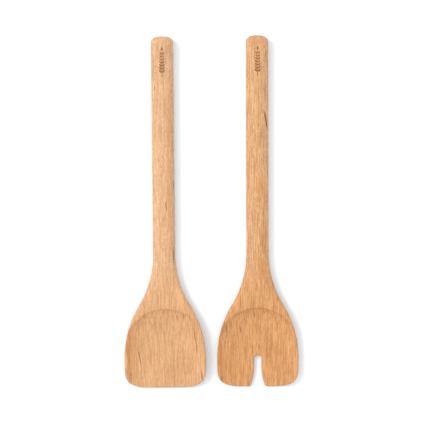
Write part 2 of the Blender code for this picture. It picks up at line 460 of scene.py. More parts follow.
def quarter(half_width: float, depth: float, squareness: float, samples: int) -> np.ndarray:
    """A corner as a fine line of points on a quarter of a superellipse.

    Args:
        half_width: from the middle line to the side.
        depth: from the end's edge to where the side is reached.
        squareness: the superellipse's exponent. 2 is round, and more is squarer.
        samples: how many points there are.

    Returns:
        The points, from the middle of the end's edge, which is at (0, 0), to the side.
    """
    turn = np.linspace(math.pi / 2, 0, samples)
    power = 2 / squareness
    return np.stack([half_width * np.cos(turn) ** power, depth * (1 - np.sin(turn) ** power)], axis=1)


@dataclass
class Plan:
    """A server seen from above, as a flat mesh that carries what the form needs at each point."""

    form: Form
    edge_rings: int = 7
    blade_step: float = 0.8 * MM  # between the outline's points
    tip_step: float = 0.56 * MM
    handle_step: float = 2.6 * MM
    fine_step: float = 0.45 * MM
    blade_grid: float = 1.25 * MM  # between the points inside
    handle_grid: float = 2.4 * MM
    blade_grid_end: float = 6 * MM  # past the shoulder
    handle_grid_start: float = 8 * MM
    crest_offsets: tuple[float, ...] = (-1.5, -1.0, -0.6, -0.3, 0.0, 0.3, 0.6, 1.0, 1.5)  # in mm
    crest_samples: int = 190  # at each of them
    crest_clearance: float = 0.4 * MM
    clearance: float = 0.45 * MM
    samples: int = 1500  # along each stretch of the half outline
    slot_samples: int = 60
    flare_samples: int = 400
    corner_samples: int = 40
    tolerance: float = 1e-9

    def half_outline(self) -> np.ndarray:
        """The outline's +x half as a fine line of points, from the tip's middle to the handle's end."""
        form = self.form
        tip = quarter(form.blade_width / 2, form.widest, form.tip_squareness, self.samples)
        side_y = np.linspace(form.widest, form.length - form.end_round, self.samples)
        side = np.stack([form.shoulder_half_width(side_y), side_y], axis=1)
        end = quarter(form.handle_width / 2, form.end_round, form.end_squareness, self.samples)[::-1]
        end = end * (1, -1) + (0, form.length)
        line = np.concatenate([tip, side[1:], end[1:]])
        return self.with_slot(line, form.slot) if form.slot else line

    def with_slot(self, line: np.ndarray, slot: Slot) -> np.ndarray:
        """Starts the outline at the slot's inner end in place of the middle of the tip.

        Args:
            line: the outline without a slot.
            slot: the slot's sizes.

        Returns:
            The outline with the slot's side, and a rounded corner where it meets the tip.
        """
        half = slot.width / 2
        turn = np.linspace(math.pi / 2, 0, self.slot_samples)
        inner = np.stack([half * np.cos(turn), slot.depth - half + half * np.sin(turn)], axis=1)
        straight_y = np.linspace(slot.depth - half, slot.flare_length, self.slot_samples)[1:]
        straight = np.stack([np.full_like(straight_y, half), straight_y], axis=1)
        flare_y = np.linspace(slot.flare_length, -slot.corner, self.flare_samples)[1:]
        rise = slot.flare_length - flare_y
        flare_x = half + slot.flare_radius - np.sqrt(slot.flare_radius**2 - rise**2)
        flare = np.stack([flare_x, flare_y], axis=1)
        tip_x, tip_y = line[: len(line) // 4].T
        flare = flare[flare_y > np.interp(flare_x, tip_x, tip_y)]
        tip = line[np.argmax(line[:, 0] > flare[-1, 0]) :]
        before = np.concatenate([inner, straight, flare])
        into = np.linalg.norm(before - flare[-1], axis=1) > slot.corner
        out_of = np.linalg.norm(tip - flare[-1], axis=1) > slot.corner
        before, tip = before[into], tip[np.argmax(out_of) :]
        share = np.linspace(0, 1, self.corner_samples)[1:-1, None]
        corner = (1 - share) ** 2 * before[-1] + 2 * share * (1 - share) * flare[-1] + share**2 * tip[0]
        return np.concatenate([before, corner, tip])

    def in_slot(self, points: np.ndarray) -> np.ndarray:
        """From 1 at the slot's edges to 0 well away from them."""
        slot = self.form.slot
        if slot is None:
            return np.zeros(len(points))
        mouth = slot.width / 2 + slot.flare_length**2 / (2 * slot.flare_radius)
        across = 1 - ease((np.abs(points[:, 0]) - mouth - slot.corner) / (2 * mouth))
        return across * (points[:, 1] < slot.depth + slot.width)

    def outline(self) -> np.ndarray:
        """The whole outline, anticlockwise from the tip's middle, with points as close as it needs."""
        form = self.form
        line = self.half_outline()
        y = line[:, 1]
        step = np.where(y > form.shoulder, self.handle_step, self.blade_step)
        step = np.where(y > form.length - 2 * form.end_round, self.fine_step, step)
        step = np.where(y < form.widest / 2, self.tip_step, step)
        step = np.where(self.in_slot(line) > 0.5, self.fine_step, step)
        gaps = np.linalg.norm(np.diff(line, axis=0), axis=1)
        travel = np.concatenate([[0], np.cumsum(gaps / ((step[1:] + step[:-1]) / 2))])
        places = np.linspace(0, travel[-1], int(travel[-1]) + 1)
        half = np.stack([np.interp(places, travel, line[:, i]) for i in (0, 1)], axis=1)
        half[0, 0] = half[-1, 0] = 0
        return np.concatenate([half, half[-2:0:-1] * (-1, 1)])

    def edge_reach(self, points: np.ndarray) -> np.ndarray:
        """How far in the rounding of the edge reaches at points of the outline."""
        form = self.form
        y = points[:, 1]
        reach = form.tip_edge + (form.blade_edge - form.tip_edge) * ease(y / form.widest)
        reach = reach + (form.handle_edge - reach) * form.handle_share(y)
        past_start = y - form.length + form.end_edge_start
        near_end = ease(past_start / (form.end_edge_start - form.end_edge_full))
        reach = reach + (form.end_edge - reach) * near_end
        if form.slot:
            reach = reach + (form.slot.edge_round - reach) * self.in_slot(points)
        return reach

    def rings(self) -> tuple[list[np.ndarray], np.ndarray]:
        """The outline and the rings inside it.

        Returns:
            The rings from the outside in, and how full the server is at each, from 0 at its rim to 1.
        """
        rim = self.outline()
        along = np.roll(rim, -1, axis=0) - np.roll(rim, 1, axis=0)
        inward = np.stack([-along[:, 1], along[:, 0]], axis=1)
        inward /= np.linalg.norm(inward, axis=1)[:, None]
        angles = np.linspace(0, math.pi / 2, self.edge_rings)
        reach = self.edge_reach(rim)[:, None]
        return [rim + inward * reach * (1 - math.cos(a)) for a in angles], np.sin(angles)

    def crest_points(self) -> np.ndarray:
        """Points on and beside the dish's crest, which keep it crisp."""
        form = self.form
        turn = np.linspace(-math.pi / 4, 5 * math.pi / 4, self.crest_samples)
        found = []
        for offset in self.crest_offsets:
            half = form.dish_half_width + offset * MM
            up = form.dish_top_length + offset * MM
            down = form.dish_run_out + offset * MM
            lift = np.where(np.sin(turn) > 0, up, down) * np.sin(turn)
            found.append(np.stack([half * np.cos(turn), form.dish_widest + lift], axis=1))
        return np.concatenate(found)

    def grid_points(self) -> np.ndarray:
        """Evenly spread points, closer in the blade than in the handle, and none near the crest."""
        form = self.form
        found = []
        for step, low, high in (
            (self.blade_grid, 0, form.shoulder + self.blade_grid_end),
            (self.handle_grid, form.shoulder + self.handle_grid_start, form.length),
        ):
            half = np.arange(0, form.blade_width / 2, step)
            for number, y in enumerate(np.arange(low, high, step * math.sqrt(3) / 2)):
                right = half + step / 2 * (number % 2)
                row = np.concatenate([-right[right > 0][::-1], right])
                found.append(np.stack([row, np.full_like(row, y)], axis=1))
        points = np.concatenate(found)
        off_crest = np.abs(form.dish_radius(points[:, 0], points[:, 1]) - 1) * form.dish_half_width
        return points[off_crest > max(self.crest_offsets) * MM + self.crest_clearance]

    def inner_points(self, ring: np.ndarray) -> np.ndarray:
        """The points inside the innermost ring, clear of it.

        Args:
            ring: the innermost ring.

        Returns:
            The points to fill it with.
        """
        points = np.concatenate([self.crest_points(), self.grid_points()])
        inside = np.zeros(len(points), dtype=bool)
        nearest = np.full(len(points), np.inf)
        for a, b in zip(ring, np.roll(ring, -1, axis=0)):
            crosses = (a[1] > points[:, 1]) != (b[1] > points[:, 1])
            if crosses.any():
                x = a[0] + (points[:, 1] - a[1]) / (b[1] - a[1]) * (b[0] - a[0])
                inside ^= crosses & (points[:, 0] < x)
            stretch = b - a
            share = np.clip(((points - a) @ stretch) / (stretch @ stretch), 0, 1)
            away = np.linalg.norm(points - a - share[:, None] * stretch, axis=1)
            nearest = np.minimum(nearest, away)
        return points[inside & (nearest > self.clearance)]

    def mesh(self, name: str) -> bpy.types.Mesh:
        """The flat mesh: quads between the rings, and triangles inside the innermost one.

        Args:
            name: the mesh's name.

        Returns:
            A mesh with a "fullness" and a "half_width" at each point.
        """
        rings, fullness = self.rings()
        count = len(rings[0])
        fill = [Vector(p) for p in np.concatenate([rings[-1], self.inner_points(rings[-1])])]
        loop = [(i, (i + 1) % count) for i in range(count)]
        inside_only = 1
        made = delaunay_2d_cdt(fill, loop, [], inside_only, self.tolerance)
        verts, _, faces, sources, _, _ = made
        inner_start = (len(rings) - 1) * count
        points = [tuple(p) for ring in rings for p in ring]
        full = [f for f in fullness for _ in range(count)]
        place = {}
        for number, (vert, source) in enumerate(zip(verts, sources)):
            ring_source = [s for s in source if s < count]
            if ring_source:
                place[number] = inner_start + ring_source[0]
            else:
                place[number] = len(points)
                points.append(tuple(vert))
                full.append(1.0)
        quads = []
        for outer in range(0, inner_start, count):
            inner = outer + count
            quads += [(outer + i, outer + j, inner + j, inner + i) for i, j in loop]
        triangles = [tuple(place[i] for i in face) for face in faces]
        mesh = bpy.data.meshes.new(name)
        mesh.from_pydata([(x, y, 0) for x, y in points], [], quads + triangles)
        half_width = self.form.shoulder_half_width(np.array([y for _, y in points]))
        for label, values in (("fullness", full), ("half_width", half_width)):
            attribute = mesh.attributes.new(label, "FLOAT", "POINT")
            attribute.data.foreach_set("value", np.array(values, dtype=np.float32))
        return mesh


# ---- The raised form ------------------------------------------------------------------------


def face_line(form: Form, y: Expr) -> Expr:
    """The height of the face along the middle, before the dish is cut."""
    share = (1.0 - y / form.length).clamped()
    return form.end_thickness - form.face_drop * share**form.face_drop_power


def dish_reach(form: Form, x: Expr, y: Expr) -> Expr:
    """How far out in the dish a point is: 0 at its middle and 1 on its crest."""
    past_widest = y - form.dish_widest
    length = form.dish_run_out + (form.dish_top_length - form.dish_run_out) * (past_widest > 0.0)
    across, along = x / form.dish_half_width, past_widest / length
    return (across * across + along * along).math("SQRT")


def dish_depth(form: Form, x: Expr, y: Expr) -> Expr:
    """How far below the face's line the dish's surface is, which is negative outside its crest."""
    return form.dish_depth * (1.0 - dish_reach(form, x, y) ** form.dish_flatness)


def handle_share(form: Form, y: Expr) -> Expr:
    """From 0 where the edges are the blade's to 1 where they are the handle's."""
    return y.rise(form.edge_thin, form.edge_thick)


def face_height(form: Form, x: Expr, y: Expr, half_width: Expr) -> Expr:
    """The height of the face, with its crown and its dish."""
    share = (abs(x) / half_width).at_most(1.0)
    crown = form.blade_crown + (form.handle_crown - form.blade_crown) * handle_share(form, y)
    cut = dish_depth(form, x, y).math("SMOOTH_MAX", 0.0, form.rim_softness)
    return face_line(form, y) - crown * share * share - cut


def back_height(form: Form, x: Expr, y: Expr, half_width: Expr) -> Expr:
    """The height of the underside, from its keel up to its edges."""
    keel = form.tip_height * (1.0 - y / form.keel).clamped() ** 2.0
    handle = handle_share(form, y)
    cut = dish_depth(form, half_width, y).at_least(0.0)
    edge = face_line(form, y) - cut - form.blade_edge_thickness
    power = form.tip_back_power + (form.neck_back_power - form.tip_back_power) * handle
    share = (abs(x) / half_width).at_most(1.0)
    return keel + (edge - keel) * (1.0 - handle) * share**power


@dataclass(frozen=True)
class Place:
    """Where a server lies: the middle of its length, and its turn about the vertical."""

    x: float
    y: float
    turn: float

    def shift(self, form: Form) -> Vector:
        """Where the server's own origin, the middle of its tip, goes in the scene."""
        reach = form.length / 2
        return Vector((self.x + reach * math.sin(self.turn), self.y - reach * math.cos(self.turn), 0))

    def inputs(self, form: Form) -> dict[str, Vector]:
        """The inputs by which a tree lays a piece here."""
        return {"Turn": Vector((0, 0, self.turn)), "Shift": self.shift(form)}


def raise_form(form: Form, place: Place, material: bpy.types.Material) -> Recipe:
    """The tree that turns a flat plan into a whole server.

    Args:
        form: the server's sizes.
        place: where it lies.
        material: its wood.

    Returns:
        The recipe, which takes the plan's mesh.
    """
    recipe = Recipe("raise_form", place.inputs(form))
    x, y, _ = recipe.position()
    fullness, half_width = (
        recipe.board.add("GeometryNodeInputNamedAttribute", {"data_type": "FLOAT"}, {"Name": name})[0]
        for name in ("fullness", "half_width")
    )
    top = face_height(form, x, y, half_width)
    bottom = back_height(form, x, y, half_width)
    middle, swell = (top + bottom) / 2.0, (top - bottom) / 2.0 * fullness
    face, back = (recipe.moved(recipe["Geometry"], x, y, z) for z in (middle + swell, middle - swell))
    closed = recipe.welded(recipe.joined(face, recipe.flipped(back)))
    recipe.end(recipe.laid(closed), material)
    return recipe


# ---- The burnt sprig ------------------------------------------------------------------------


@dataclass(frozen=True)
class Sprig:
    """A stem with pairs of leaves, burnt into the face of a handle."""

    across: float  # from the handle's middle line
    middle: float = 22 * MM  # from the handle's end to the sprig's middle
    length: float = 25.5 * MM
    leaf_length: float = 3.4 * MM
    leaf_width: float = 1.7 * MM
    stem_width: float = 0.6 * MM
    leaf_pairs: int = 7
    lean: float = math.radians(38)  # from the stem
    gap: float = 0.12 * MM  # between the stem and a leaf
    proud: float = 0.03 * MM  # how far the char stands above the face
    depth: float = 0.3 * MM
    first_pair: float = 0.16  # how far up the stem the first pair of leaves is
    next_pair: float = 0.98  # and where one pair past the last would be
    leaf_taper: float = 0.35  # how much smaller the leaves get towards the top
    stem_taper: float = 0.55
    leaf_belly: float = 0.8  # below 1, a leaf is widest nearer its stalk
    leaf_points: tuple[int, int] = (5, 13)  # across and along
    stem_points: tuple[int, int] = (3, 30)

    @staticmethod
    def strip(recipe: Recipe, points: tuple[int, int]) -> tuple[Expr, Expr, Expr]:
        """A flat strip, 1 wide and 1 long.

        Args:
            recipe: the tree.
            points: how many points it has across and along.

        Returns:
            Its geometry, each point's place across it from -0.5 to 0.5, and along it from 0 to 1.
        """
        across, along = points
        grid = {"Size X": 1.0, "Size Y": 1.0, "Vertices X": across, "Vertices Y": along}
        sheet = recipe.board.add("GeometryNodeMeshGrid", inputs=grid)["Mesh"]
        x, y, _ = recipe.position()
        return sheet, x, (y + 0.5).clamped()

    def leaf(self, recipe: Recipe) -> Expr:
        """One flat leaf along +y from its stalk."""
        sheet, x, share = self.strip(recipe, self.leaf_points)
        width = recipe["Leaf Width"] * (share**self.leaf_belly * math.pi).math("SINE").at_least(0.0)
        return recipe.welded(recipe.moved(sheet, x * width, share * recipe["Leaf Length"], 0.0))

    def stem(self, recipe: Recipe) -> Expr:
        """The flat, tapering stem, from the origin along +y."""
        sheet, x, share = self.strip(recipe, self.stem_points)
        width = self.stem_width * (1.0 - self.stem_taper * share)
        return recipe.moved(sheet, x * width, share * recipe["Stem Length"], 0.0)

    def leaves(self, recipe: Recipe) -> list[Expr]:
        """A flat leaf on each side at every node of the stem, and one at its top."""
        board, leaf, stem = recipe.board, self.leaf(recipe), recipe["Stem Length"]
        step = stem * ((self.next_pair - self.first_pair) / self.leaf_pairs)
        line = {
            "Count": recipe["Leaf Pairs"],
            "Start Location": board.vector(0.0, stem * self.first_pair, 0.0),
            "Offset": board.vector(0.0, step, 0.0),
        }
        nodes = board.add("GeometryNodeMeshLine", inputs=line)[0]
        number = board.add("GeometryNodeInputIndex")[0]
        size = 1.0 - number / self.leaf_pairs * self.leaf_taper
        made = []
        for side in (-1.0, 1.0):
            start = board.vector(side * (self.stem_width / 2 + self.gap), 0.0, 0.0)
            moved = board.add("GeometryNodeSetPosition", inputs={"Geometry": nodes, "Offset": start})[0]
            inputs = {
                "Points": moved,
                "Instance": leaf,
                "Rotation": board.vector(0.0, 0.0, -side * recipe["Lean"]),
                "Scale": board.vector(size, size, 1.0),
            }
            made.append(board.add("GeometryNodeInstanceOnPoints", inputs=inputs)[0])
        top = board.vector(0.0, stem + self.gap, 0.0)
        made.append(board.add("GeometryNodeTransform", inputs={"Geometry": leaf, "Translation": top})[0])
        return made

    def char(self, recipe: Recipe, flat: Expr, form: Form) -> Expr:
        """Gives the flat sprig its depth and lays it in the handle's face.

        Args:
            recipe: the tree.
            flat: the flat sprig.
            form: the server's sizes.

        Returns:
            The sprig in its place.
        """
        board = recipe.board
        up = board.vector(0.0, 0.0, 1.0)
        inputs = {"Mesh": flat, "Offset": up, "Offset Scale": self.depth, "Individual": False}
        raised = board.add("GeometryNodeExtrudeMesh", {"mode": "FACES"}, inputs)[0]
        solid = recipe.welded(recipe.joined(raised, recipe.flipped(flat)))
        x, y, z = recipe.position()
        x = x + self.across
        y = y + (form.length - self.middle - self.length / 2)
        share = x / (form.handle_width / 2)
        face = face_line(form, y) - form.handle_crown * share * share
        return recipe.laid(recipe.moved(solid, x, y, face + z + (self.proud - self.depth)))

    def recipe(self, form: Form, place: Place, material: bpy.types.Material) -> Recipe:
        """The tree that makes the whole sprig on its server.

        Args:
            form: the server's sizes, which say how its face lies.
            place: where the server lies.
            material: the char's finish.

        Returns:
            The recipe, which takes an empty mesh.
        """
        inputs = {
            "Stem Length": self.length - self.leaf_length,
            "Leaf Length": self.leaf_length,
            "Leaf Width": self.leaf_width,
            "Leaf Pairs": self.leaf_pairs,
            "Lean": self.lean,
            **place.inputs(form),
        }
        recipe = Recipe("burnt_sprig", inputs)
        pieces = recipe.joined(self.stem(recipe), *self.leaves(recipe))
        flat = recipe.board.add("GeometryNodeRealizeInstances", inputs={0: pieces})[0]
        recipe.end(self.char(recipe, flat, form), material)
        return recipe


# ---- Finishes -------------------------------------------------------------------------------


def bare_material(name: str) -> bpy.types.Material:
    """A new material with an empty node tree."""
    material = bpy.data.materials.new(name)
    material.use_nodes = True
    material.node_tree.nodes.clear()
    return material


@dataclass(frozen=True)
class Streak:
    """One mark in the grain or a patch of painted shade, in mm from the server's middle line and from its
    tip.
    """

    x: float
    y: float
    width: float
    length: float
    strength: float
    lean: float = 0.0  # how far it moves across for each mm along
    tone: Colour = linear(112, 62, 30)


@dataclass(frozen=True)
class Layer:
    """One layer of the grain's noise."""

    size: tuple[float, float, float]  # of its features across, along and through the wood, in mm
    detail: float
    strength: float  # how far its value goes, up and down together


DRIFT = Layer((16.0, 120.0, 16.0), 1.0, 0.255)  # the board's slow changes of tone
BAND = Layer((2.6, 60.0, 6.0), 2.0, 0.51)  # the growth rings
THREAD = Layer((0.72, 18.0, 2.6), 1.0, 2.0)  # long lines of pores
DASH = Layer((0.7, 4.2, 2.2), 1.0, 1.1)  # short lines of pores
FINE = Layer((0.42, 10.0, 1.6), 2.0, 1.5)
WOBBLE = Layer((6.0, 14.0, 6.0), 1.0, 1.4)  # moves a mark sideways, in shares of its width


@dataclass(frozen=True)
class Beech:
    """Sanded and oiled beech, with its grain along the server."""

    name: str
    light: Colour
    deep: Colour
    blade_tint: Colour  # the blade has taken up more oil than the handle
    wall_shade_tint: Colour  # painted shade that darkens the dish's wall
    crest: float  # how dark the painted shade line along the dish's crest is
    streaks: tuple[Streak, ...]
    seed: float
    handle_contrast: float  # of the lines of pores
    blade_contrast: float
    blade_start: float  # mm from the tip to where the blade's tone starts to show
    blade_full: float = 60.0  # and to where it is full
    fine_tone: float = 0.4  # how much the finest grain changes the tone
    # also the colour of the painted shade line along the dish's crest
    fleck: Colour = linear(140, 88, 52)
    fleck_size: tuple[float, float, float] = (0.72, 2.6, 4.0)  # of the cells that hold one each, in mm
    fleck_radius: float = 0.46  # in shares of a cell
    fleck_softness: float = 0.25
    empty_cells: float = 0.3  # the share of the cells that hold none
    handle_flecks: float = 0.62  # how strongly they show
    blade_flecks: float = 0.36
    end_grain: Colour = linear(238, 236, 240)
    end_facing: tuple[float, float] = (0.6, 0.98)  # from where and to where a surface turns end-on
    mark_facing: float = 0.3  # how far up a surface faces where the marks are full
    wall_start: float = 0.86  # how far out in the dish the wall's painted shade starts, where 1 is the crest
    wall_end: float = 1.02
    crest_place: float = 0.985  # where its line is, on the same scale
    crest_width: float = 0.03
    crest_thins: tuple[float, float] = (12.0, 26.0)  # mm from the middle line, where it starts and is full
    crest_thinning: float = 0.75
    roughness: float = 0.52
    fine_roughness: float = 0.22  # what the fine grain, the end grain and the flecks change in it
    end_roughness: float = 0.12
    fleck_gloss: float = 0.06
    relief: float = 0.06 * MM
    relief_strength: float = 0.35
    fine_relief: float = 0.7  # what the fine grain and the flecks give to it
    fleck_relief: float = 0.25
    shine: float = 0.35

    def material(self, form: Form, place: Place) -> bpy.types.Material:
        """Makes the wood.

        Args:
            form: the server's sizes.
            place: where the server lies, so that the grain runs along it.

        Returns:
            The material.
        """
        material = bare_material(self.name)
        wood = Grain(material.node_tree, self, form, place)
        rough = self.roughness + wood.fine * self.fine_roughness
        rough = rough + wood.end * self.end_roughness - wood.flecks * self.fleck_gloss
        relief = wood.fine * self.fine_relief + wood.flecks * self.fleck_relief
        inputs = {
            "Base Color": wood.colour(),
            "Roughness": rough.clamped(),
            "Normal": wood.bump(relief, self.relief_strength, self.relief),
            "Specular IOR Level": self.shine,
        }
        wood.surface(inputs)
        return material


class Grain(Board):
    """The node tree of one server's beech, with the patterns in its wood and the shade painted on it."""

    def __init__(self, tree: bpy.types.NodeTree, beech: Beech, form: Form, place: Place) -> None:
        """Adds what the patterns share.

        Args:
            tree: the material's tree.
            beech: the wood.
            form: the server's sizes.
            place: where the server lies.
        """
        super().__init__(tree)
        self.beech = beech
        self.form = form
        coordinates = self.add("ShaderNodeTexCoord")
        own_frame = {
            "Vector": coordinates["Object"],
            "Location": place.shift(form),
            "Rotation": (0, 0, place.turn),
            "Scale": (MM, MM, MM),
        }
        self.spot = self.add("ShaderNodeMapping", {"vector_type": "TEXTURE"}, own_frame)[0]
        self.x, self.y, _ = self.parts(self.spot)
        _, along, self.facing_up = self.parts(coordinates["Normal"])
        self.end = abs(along).rise(*beech.end_facing)
        self.blade = self.y.rise(beech.blade_start, beech.blade_full)
        self.fine = self.noise(FINE)
        self.wobble = self.noise(WOBBLE)
        self.flecks = self.rays()

    def noise(self, layer: Layer) -> Expr:
        """One layer of the grain, as a value about 0."""
        seed = self.beech.seed
        scaled = self.vector_math("DIVIDE", self.spot, layer.size)
        moved = self.vector_math("ADD", scaled, (seed, 2 * seed, 3 * seed))
        inputs = {"Vector": moved, "Scale": 1.0, "Detail": layer.detail}
        return (self.add("ShaderNodeTexNoise", inputs=inputs)[0] - 0.5) * layer.strength

    def rays(self) -> Expr:
        """The short dark ends of the rays."""
        beech = self.beech
        scaled = self.vector_math("DIVIDE", self.spot, beech.fleck_size)
        moved = self.vector_math("ADD", scaled, (beech.seed, beech.seed, beech.seed))
        cells = self.add("ShaderNodeTexVoronoi", inputs={"Vector": moved, "Scale": 1.0, "Randomness": 1.0})
        near = ((beech.fleck_radius - cells["Distance"]) / beech.fleck_softness).clamped()
        chance, _, _ = self.parts(cells["Color"])
        return near * (chance > beech.empty_cells) * chance

    def by_part(self, handle: float, blade: float) -> Expr:
        """A value that changes from the handle's to the blade's."""
        return handle + (blade - handle) * self.blade

    def depth(self) -> Expr:
        """How far the wood is from its light to its deep tone."""
        beech = self.beech
        contrast = self.by_part(beech.handle_contrast, beech.blade_contrast)
        pores = (self.noise(THREAD) + self.noise(DASH)) * contrast
        slow = self.noise(DRIFT) + self.noise(BAND)
        return (0.5 + slow + pores + self.fine * beech.fine_tone).clamped()

    def mark(self, streak: Streak) -> Expr:
        """Where one mark lies, broken up by the fine grain and with ragged ends."""
        past_middle = self.y - streak.y
        off_middle = self.x - streak.x - past_middle * streak.lean + self.wobble * streak.width
        across, along = off_middle / (streak.width / 2), past_middle / (streak.length / 2)
        reach = (1.0 - across * across - along * along).clamped()
        return (reach * (1.0 + self.fine)).eased() * streak.strength

    def dish(self) -> tuple[Expr, Expr]:
        """The dish's painted shade, on its wall and in a line along its crest.

        Returns:
            How far up its wall a point is, and how dark the painted shade along its crest is there.
        """
        beech = self.beech
        reach = dish_reach(self.form, self.x * MM, self.y * MM)
        on_face = self.facing_up > 0.0
        # painted shade: darker up the dish's wall
        wall = reach.rise(beech.wall_start, 1.0) * reach.rise(beech.wall_end, 1.0)
        # painted shade: a thin dark line along the crest, fading towards the sides
        crest = (1.0 - abs(reach - beech.crest_place) / beech.crest_width).clamped()
        thinned = 1.0 - abs(self.x).rise(*beech.crest_thins) * beech.crest_thinning
        return wall * on_face, crest * thinned * on_face * beech.crest

    def colour(self) -> Expr:
        """The wood's colour with all its marks, and with painted shade on the dish and in a few streaks.
        """
        beech = self.beech
        flecks = self.flecks * self.by_part(beech.handle_flecks, beech.blade_flecks)
        on_face = self.facing_up.rise(0.0, beech.mark_facing)
        wall, crest = self.dish()
        colour = self.tint(self.depth(), beech.light, beech.deep, Blend.OVER)
        colour = self.tint(flecks, colour, beech.fleck, Blend.OVER)
        colour = self.tint(self.blade, colour, beech.blade_tint, Blend.DARKEN)
        # most streaks are marks in the grain, and a few are painted shade
        for streak in beech.streaks:
            colour = self.tint(self.mark(streak) * on_face, colour, streak.tone, Blend.OVER)
        # painted shade on the dish's wall
        colour = self.tint(wall, colour, beech.wall_shade_tint, Blend.DARKEN)
        # painted shade along the dish's crest, in the fleck colour
        colour = self.tint(crest, colour, beech.fleck, Blend.OVER)
        return self.tint(self.end, colour, beech.end_grain, Blend.DARKEN)


@dataclass(frozen=True)
class Char:
    """Wood burnt brown by a hot stamp, and a little uneven."""

    name: str = "burnt_mark"
    brown: Colour = linear(148, 98, 58)
    dark: Colour = linear(114, 72, 40)
    size: tuple[float, float, float] = (1.2 * MM, 4 * MM, 1.2 * MM)  # of the unevenness
    detail: float = 3.0
    dark_start: float = 0.35  # how high the noise is where the dark starts
    dark_full: float = 0.65
    roughness: float = 0.7
    dark_roughness: float = 0.15
    relief: float = 0.05 * MM
    relief_strength: float = 0.3

    def material(self) -> bpy.types.Material:
        """Makes the char."""
        material = bare_material(self.name)
        board = Board(material.node_tree)
        spot = board.vector_math("DIVIDE", board.add("ShaderNodeTexCoord")["Object"], self.size)
        inputs = {"Vector": spot, "Scale": 1.0, "Detail": self.detail}
        uneven = board.add("ShaderNodeTexNoise", inputs=inputs)[0]
        share = ((uneven - self.dark_start) / (self.dark_full - self.dark_start)).clamped()
        inputs = {
            "Base Color": board.tint(share, self.brown, self.dark, Blend.OVER),
            "Roughness": self.roughness + share * self.dark_roughness,
            "Normal": board.bump(uneven, self.relief_strength, self.relief),
        }
        board.surface(inputs)
        return material


# ---- The servers ----------------------------------------------------------------------------


class Kind(Enum):
    """The two servers, by their bodies' names."""

    SPOON = "spoon"
    FORK = "fork"


@dataclass
class Server:
    """One server, which stands for one node of the frame."""

    kind: Kind
    turn: float
    tip_squareness: float
    rim_softness: float
    wood: Beech
    sprig: Sprig
    slot: Slot | None = None
    margin: float = 0.1 * MM  # kept clear inside the node's box
    pieces: list[bpy.types.Object] = field(default_factory=list)

    @property
    def node(self) -> str:
        """The frame's node."""
        return f"{self.kind.value}_server"

    def fit(self) -> tuple[Form, Place]:
        """Takes the overall sizes and the place from the node's box."""
        low, high = (Vector(corner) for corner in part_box(self.node))
        size, middle = high - low, (high + low) / 2
        form = Form(
            length=size.y - 2 * self.margin,
            blade_width=size.x - 2 * self.margin,
            end_thickness=size.z - self.margin / 2,
            tip_squareness=self.tip_squareness,
            rim_softness=self.rim_softness,
            slot=self.slot,
        )
        lever = form.length / 2 - form.widest
        return form, Place(middle.x - lever * math.sin(self.turn), middle.y, self.turn)

    def build(self) -> None:
        """Makes the server and its mark, and joins both to its body."""
        name = self.kind.value
        form, place = self.fit()
        wood = self.wood.material(form, place)
        body = raise_form(form, place, wood).make(f"{name}_beech", Plan(form).mesh(f"{name}_plan"))
        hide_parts(self.node)
        sprig = self.sprig.recipe(form, place, Char().material())
        mark = sprig.make(f"{name}_burnt_sprig", bpy.data.meshes.new(f"{name}_blank"))
        for piece in (body, mark):
            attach(piece, self.kind.value)
            self.pieces.append(piece)


# ---- The studio -----------------------------------------------------------------------------


@dataclass
class Studio:
    """A white table, soft light from the upper left, and a camera straight above."""

    frame_width: float = 360.2 * MM
    focus_height: float = 11 * MM
    camera_height: float = 2.2
    sensor: float = 36.0
    table_size: float = 14.0
    table_drop: float = 0.03 * MM
    table_colour: Colour = (0.785, 0.825, 0.85)
    table_roughness: float = 0.9
    sky: float = 1.25
    key_power: float = 1.55
    key_spread: float = math.radians(24)
    key_place: tuple[float, float, float] = (-1.1, 0.5, 1.15)

    def build(self) -> None:
        """Sets up the whole studio."""
        self.add_table()
        self.add_light()
        self.add_sky()
        self.add_camera()
        bpy.context.scene.view_settings.view_transform = "Standard"

    def add_table(self) -> None:
        """The table's top, which isn't part of the object."""
        half = self.table_size / 2
        mesh = bpy.data.meshes.new("table")
        corners = [(-half, -half), (half, -half), (half, half), (-half, half)]
        mesh.from_pydata([(x, y, -self.table_drop) for x, y in corners], [], [(0, 1, 2, 3)])
        table = bpy.data.objects.new("table", mesh)
        bpy.context.scene.collection.objects.link(table)
        material = bare_material("white_table")
        inputs = {
            "Base Color": (*self.table_colour, 1),
            "Roughness": self.table_roughness,
            "Specular IOR Level": 0.0,
        }
        Board(material.node_tree).surface(inputs)
        mesh.materials.append(material)

    def add_light(self) -> None:
        """A large soft light far away, up and to the left."""
        data = bpy.data.lights.new("key", "SUN")
        data.angle = self.key_spread
        data.energy = self.key_power
        light = bpy.data.objects.new("key", data)
        light.location = self.key_place
        light.rotation_mode = "QUATERNION"
        light.rotation_quaternion = (-Vector(self.key_place)).to_track_quat("-Z", "Y")
        bpy.context.scene.collection.objects.link(light)

    def add_sky(self) -> None:
        """Even white light from all round."""
        world = bpy.data.worlds.new("white")
        world.use_nodes = True
        shader = world.node_tree.nodes["Background"]
        shader.inputs["Color"].default_value = (1, 1, 1, 1)
        shader.inputs["Strength"].default_value = self.sky
        bpy.context.scene.world = world

    def add_camera(self) -> None:
        """A long lens straight above, with +Y up the picture."""
        data = bpy.data.cameras.new("camera")
        data.sensor_width = self.sensor
        data.lens = self.sensor * (self.camera_height - self.focus_height) / self.frame_width
        data.clip_end = 4 * self.camera_height
        camera = bpy.data.objects.new("camera", data)
        camera.location = (0, 0, self.camera_height)
        bpy.context.scene.collection.objects.link(camera)
        bpy.context.scene.camera = camera


# ---- The pair -------------------------------------------------------------------------------


